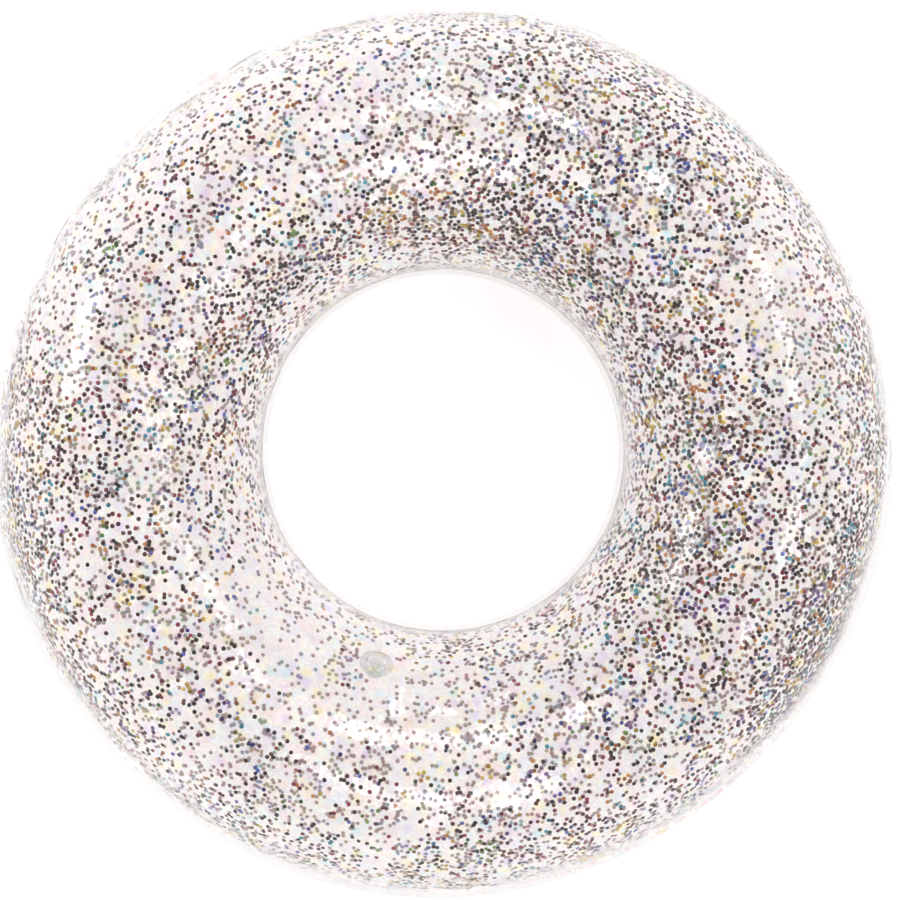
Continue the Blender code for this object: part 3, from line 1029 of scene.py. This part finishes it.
def crowding_field(points, side):
    """How crowded the dots are at each point of a wall, 0 to 1."""
    base, gain, loss = (0.43, 1.0, 1.0) if side > 0 else (0.60, 0.5, 0.2)
    azimuth = np.arctan2(points[:, 1], points[:, 0])
    reach = np.hypot(points[:, 0], points[:, 1])
    crowding = np.full(len(points), base)
    for degrees, distance, around, across, change in DRIFTS:
        turn = (azimuth - radians(degrees) + pi) % tau - pi
        off = (turn * reach / around) ** 2 + ((reach - distance) / across) ** 2
        crowding += (gain if change > 0 else loss) * change * np.exp(-off)
    places = [Vector(p) + Vector((0, 0, 3.0 * side)) for p in points]
    for scale, strength in CLUMPS:
        crowding += strength * np.array([noise.noise(p * scale) for p in places])
    if side < 0:
        from_valve = points - np.array(MOUTH)
        off_axis = np.linalg.norm(np.cross(from_valve, np.array(VALVE_Z)), axis=-1)
        near = np.where(np.abs(from_valve @ np.array(VALVE_Z)) < 0.03, off_axis, 1.0)
        crowding[near < SKIRT_R + 0.004] = 0.0
    heaped = np.where(crowding > 1.0, 1.0 + 0.6 * (crowding - 1.0), crowding)
    return np.clip(heaped * 0.70, LEAST_CROWDING, 1.0) * (crowding > 0.0)


def wall_mesh(side):
    """One film's outer face without its weld bands, with the crowding stored on its points."""
    sizes = bpy.context.scene.ring_sizes
    first, last = OUTER_BAND_ROWS + 1, INNER_BAND_ROWS + 1
    if side > 0:
        first, last = last, first
    points = film_points(side, sizes.steps, sizes.rows)[first:-last]
    mesh = grid_mesh("wall", points)
    crowding = mesh.attributes.new("crowding", "FLOAT", "POINT")
    crowding.data.foreach_set("value", crowding_field(points.reshape(-1, 3), side).astype(np.float32))
    return mesh


STRAY_FROM = 0.70  # the share of dots that keep to their patch's foil
SIZE_SPREAD = (0.88, 1.05)
DOT_DEPTHS = (-0.0015, -0.0007)  # along the film's outward normal


class DotTree(Maker):
    """The geometry tree that strews foil dots under a film wall."""

    INPUTS = {
        "Float": (
            "Radius", "Thickness", "Spacing", "Crowding", "Cluster Size", "Lean", "Share From", "Share To",
        ),
        "Int": ("Seed",),
        "Material": ("Face", "Back"),
    }

    def __init__(self):
        super().__init__(bpy.data.node_groups.new("loose_dots", "GeometryNodeTree"))
        face = self.tree.interface
        face.new_socket(name="Geometry", in_out="INPUT", socket_type="NodeSocketGeometry")
        for kind, names in self.INPUTS.items():
            for name in names:
                face.new_socket(name=name, in_out="INPUT", socket_type=f"NodeSocket{kind}")
        face.new_socket(name="Geometry", in_out="OUTPUT", socket_type="NodeSocketGeometry")
        self.entry = self.tree.nodes.new("NodeGroupInput")
        self.build()

    def given(self, name):
        return Wire(self, self.entry.outputs[name])

    def random(self, seed, low=0.0, high=1.0):
        sockets = {2: low, 3: high, 8: seed}
        return self.node("FunctionNodeRandomValue", {"data_type": "FLOAT"}, sockets, output=1)

    def compare(self, operation, first, second):
        settings = {"data_type": "FLOAT", "operation": operation}
        return self.node("FunctionNodeCompare", settings, {0: first, 1: second})

    def stored(self, name, kind):
        settings = {"data_type": kind}
        return self.node("GeometryNodeInputNamedAttribute", settings, {"Name": name}, output="Attribute")

    def both(self, first, second):
        return self.node("FunctionNodeBooleanMath", {"operation": "AND"}, {0: first, 1: second})

    def store(self, geometry, name, value, kind, domain):
        settings = {"data_type": kind, "domain": domain}
        sockets = {"Geometry": geometry, "Name": name, "Value": value}
        return self.node("GeometryNodeStoreNamedAttribute", settings, sockets)

    def scattered(self):
        sockets = {
            "Mesh": self.given("Geometry"),
            "Distance Min": self.given("Spacing"),
            "Density Max": self.given("Crowding"),
            "Density Factor": self.stored("crowding", "FLOAT"),
            "Seed": self.given("Seed"),
        }
        return self.node("GeometryNodeDistributePointsOnFaces", {"distribute_method": "POISSON"}, sockets)

    def colour_share(self):
        """0 to 1 for each dot: its patch's number for most, its own for the rest."""
        scale = 1.0 / self.given("Cluster Size")
        cell = self.node("ShaderNodeTexVoronoi", sockets={"Scale": scale}, output="Color")
        patch = self.node("FunctionNodeSeparateColor", sockets={0: cell})
        own = self.random(3)
        stray = self.compare("GREATER_THAN", self.random(4), STRAY_FROM)
        return self.node("GeometryNodeSwitch", {"input_type": "FLOAT"}, {0: stray, 1: patch, 2: own})

    def dot(self):
        """One dot, with its inner face marked."""
        sizes = {"Vertices": 8, "Radius": self.given("Radius"), "Depth": self.given("Thickness")}
        disc = self.node("GeometryNodeMeshCylinder", {"fill_type": "NGON"}, sizes)
        bottom = Wire(self, disc.socket.node.outputs["Bottom"])
        return self.store(disc, "inner", bottom, "BOOLEAN", "FACE")

    def build(self):
        points = self.scattered()
        spread = points.socket.node.outputs
        share = self.colour_share()
        wanted = self.both(
            self.compare("GREATER_EQUAL", share, self.given("Share From")),
            self.compare("LESS_THAN", share, self.given("Share To")),
        )
        selected = {"Geometry": points, "Selection": wanted}
        kept = self.node("GeometryNodeSeparateGeometry", {"domain": "POINT"}, selected)
        depth = self.random(5, *DOT_DEPTHS)
        sockets = {0: Wire(self, spread["Normal"]), "Scale": depth}
        inwards = self.node("ShaderNodeVectorMath", {"operation": "SCALE"}, sockets)
        sunk = self.node("GeometryNodeSetPosition", sockets={"Geometry": kept, "Offset": inwards})
        lean = self.given("Lean")
        leans = [(self.random(seed) - 0.5) * lean * 2.0 for seed in (6, 7)]
        turn = self.node("ShaderNodeCombineXYZ", sockets={0: leans[0], 1: leans[1], 2: self.random(8) * tau})
        sockets = {"Rotation": Wire(self, spread["Rotation"]), "Rotate By": turn}
        turned = self.node("FunctionNodeRotateRotation", {"rotation_space": "LOCAL"}, sockets)
        size = self.random(9, *SIZE_SPREAD)
        sockets = {"Points": sunk, "Instance": self.dot(), "Rotation": turned, "Scale": size}
        placed = self.node("GeometryNodeInstanceOnPoints", sockets=sockets)
        toned = self.store(placed, "tone", self.random(10), "FLOAT", "INSTANCE")
        real = self.node("GeometryNodeRealizeInstances", sockets={"Geometry": toned})
        sockets = {"Geometry": real, "Material": self.given("Face")}
        faced = self.node("GeometryNodeSetMaterial", sockets=sockets)
        inner = self.stored("inner", "BOOLEAN")
        sockets = {"Geometry": faced, "Selection": inner, "Material": self.given("Back")}
        backed = self.node("GeometryNodeSetMaterial", sockets=sockets)
        out = self.tree.nodes.new("NodeGroupOutput")
        self.tree.links.new(backed.socket, out.inputs["Geometry"])

    def strewn(self, mesh, values):
        """The mesh of the dots that the tree puts on a wall."""
        holder = linked("holder", mesh)
        modifier = holder.modifiers.new("loose_dots", "NODES")
        modifier.node_group = self.tree
        for item in self.tree.interface.items_tree:
            if item.in_out == "INPUT" and item.name in values:
                modifier[item.identifier] = values[item.name]
        bpy.context.view_layer.update()
        return evaluated_mesh(holder)


def confetti_nodes(foil, side):
    """The frame's sample dots of one foil under one wall."""
    named = [s["node"] for s in frame["record"]["subparts"] if s["material_slot"] == f"foil_{foil}"]
    return [n for n in named if (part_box(n)[0].z > MID) == (side > 0)]


class RING_OT_confetti(bpy.types.Operator):
    """Strew the foil dots over the inner face of both films"""

    bl_idname = "swim_ring.confetti"
    bl_label = "Confetti"

    def execute(self, context):
        sizes = context.scene.confetti_sizes
        tree = DotTree()
        for side, wall in ((1, "upper"), (-1, "lower")):
            mesh = wall_mesh(side)
            for foil, tones in FOIL_FACES.items():
                low, high = foil_span(foil)
                stops = DULL_FOIL_STOPS if foil in ("black", "crimson") else BRIGHT_FOIL_STOPS
                values = {
                    "Radius": sizes.radius,
                    "Thickness": sizes.thickness,
                    "Spacing": sizes.spacing,
                    "Crowding": sizes.crowding,
                    "Cluster Size": sizes.cluster,
                    "Lean": sizes.tilt,
                    "Share From": low,
                    "Share To": high,
                    "Seed": 5 + side,
                    "Face": foil_finish(f"foil_{foil}_{wall}", tones, stops, 0.0),
                    "Back": foil_finish(f"foil_{foil}_{wall}_back", tones, stops, BACK_PALENESS),
                }
                dots = tree.strewn(mesh.copy(), values)
                nodes = confetti_nodes(foil, side)
                shown(f"confetti_{wall}_{foil}", dots, None, replaces=nodes)
            bpy.data.meshes.remove(mesh)
        return {"FINISHED"}


# Floor, lights and camera

CAMERA_HEIGHT = 3.0  # above the ring's middle plane
RING_SHARE = 0.9933  # of the picture's width that the ring's outer edge takes up
SENSOR = 36.0

# Softboxes: name, azimuth and lean off the vertical in degrees, half-angles round and up, and brightness.
SOFTBOXES = (
    ("far_softbox", 86, 24, 6, 6, 7.0),
    ("far_low_softbox", 92, 50, 4, 5, 7.0),
    ("right_softbox", -2, 30, 9, 3, 6.0),
    ("right_far_softbox", 29, 37, 4, 5, 6.0),
    ("near_softbox", -83, 27, 6, 5, 5.0),
    ("left_softbox", 160, 50, 7, 7, 6.0),
)


def softbox(name, azimuth, lean, around, up, brightness, distance=2.4):
    """A rectangular lamp that shines at the ring's middle from the given direction."""
    wide, tall = 2 * distance * np.tan(radians(around)), 2 * distance * np.tan(radians(up))
    light = bpy.data.lights.new(name, "AREA")
    light.shape = "RECTANGLE"
    light.size, light.size_y = float(wide), float(tall)
    light.energy = float(brightness * pi * wide * tall)
    obj = linked(name, light)
    turn, tip = radians(azimuth), radians(lean)
    away = Vector((cos(turn) * sin(tip), sin(turn) * sin(tip), cos(tip)))
    sideways = Vector((-sin(turn), cos(turn), 0))
    obj.matrix_world = Matrix((sideways, away.cross(sideways), away)).transposed().to_4x4()
    obj.location = Vector((0, 0, MID)) + away * distance


def sky(level, overhead):
    """A plain studio surround, of one brightness at eye level and another overhead."""
    world = bpy.data.worlds.new("studio")
    bpy.context.scene.world = world
    world.use_nodes = True
    maker = Maker(world.node_tree)
    world.node_tree.nodes.clear()
    direction = maker.node("ShaderNodeTexCoord", output="Generated")
    up = Wire(maker, maker.node("ShaderNodeSeparateXYZ", sockets={0: direction}).socket.node.outputs["Z"])
    strength = level + up.smooth(0.25, 0.85) * (overhead - level)
    sockets = {"Color": (1.0, 0.995, 0.99, 1.0), "Strength": strength}
    shade = maker.node("ShaderNodeBackground", sockets=sockets)
    out = world.node_tree.nodes.new("ShaderNodeOutputWorld")
    world.node_tree.links.new(shade.socket, out.inputs["Surface"])


class RING_OT_stage(bpy.types.Operator):
    """Add the pale floor, the soft studio lights and the camera"""

    bl_idname = "swim_ring.stage"
    bl_label = "Stage"

    def execute(self, context):
        scene = context.scene
        lens = bpy.data.cameras.new("camera")
        lens.sensor_width = SENSOR
        lens.lens = RING_SHARE * SENSOR * CAMERA_HEIGHT / (2 * OUTER_R)
        lens.shift_x = 0.0078
        scene.camera = linked("camera", lens)
        scene.camera.location = (0.0, 0.0, MID + CAMERA_HEIGHT)

        mesh = bpy.data.meshes.new("floor")
        with edited(mesh) as bm:
            bmesh.ops.create_grid(bm, x_segments=8, y_segments=8, size=30.0)
        floor = linked("floor", mesh)
        f = Finish("pale_floor")
        cloudy = f.noise(3.0, 2.0)
        tint = f.ramp(cloudy, [(0.3, (0.90, 0.90, 0.895)), (0.7, (0.93, 0.93, 0.93))])
        glow = {"Emission_Color": (1.0, 1.0, 1.0, 1.0), "Emission_Strength": 0.42}  # lit a little from below
        mesh.materials.append(f.done(f.principled(Base_Color=tint, Roughness=0.85, **glow)))

        sky(0.96, 0.42)
        for box in SOFTBOXES:
            softbox(*box)
        scene.view_settings.view_transform = "Standard"
        scene.cycles.transparent_max_bounces = 32
        return {"FINISHED"}


# The add-on


class RING_PT_panel(bpy.types.Panel):
    """Lists the ring's sizes, colours and building steps"""

    bl_label = "Swim Ring"
    bl_idname = "RING_PT_panel"
    bl_space_type = "VIEW_3D"
    bl_region_type = "UI"
    bl_category = "Swim Ring"

    def draw(self, context):
        for title, group in (
            ("Films", context.scene.ring_sizes),
            ("Colours", context.scene.film_colours),
            ("Confetti", context.scene.confetti_sizes),
        ):
            box = self.layout.box()
            box.label(text=title)
            for name in group.__annotations__:
                box.prop(group, name)
        column = self.layout.column(align=True)
        for operator in OPERATORS:
            column.operator(operator.bl_idname)


GROUPS = (RingSizes, FilmColours, ConfettiSizes)
OPERATORS = (
    RING_OT_stage,
    RING_OT_films,
    RING_OT_skirt,
    RING_OT_stem,
    RING_OT_plug,
    RING_OT_strap,
    RING_OT_flap,
    RING_OT_confetti,
)
CLASSES = (*GROUPS, *OPERATORS, RING_PT_panel)


def register():
    for cls in CLASSES:
        bpy.utils.register_class(cls)
    bpy.types.Scene.ring_sizes = bpy.props.PointerProperty(type=RingSizes)
    bpy.types.Scene.film_colours = bpy.props.PointerProperty(type=FilmColours)
    bpy.types.Scene.confetti_sizes = bpy.props.PointerProperty(type=ConfettiSizes)


def unregister():
    del bpy.types.Scene.confetti_sizes
    del bpy.types.Scene.film_colours
    del bpy.types.Scene.ring_sizes
    for cls in reversed(CLASSES):
        bpy.utils.unregister_class(cls)


def main():
    register()
    for step in ("stage", "films", "skirt", "stem", "plug", "strap", "flap", "confetti"):
        getattr(bpy.ops.swim_ring, step)()


if __name__ == "__main__":
    main()
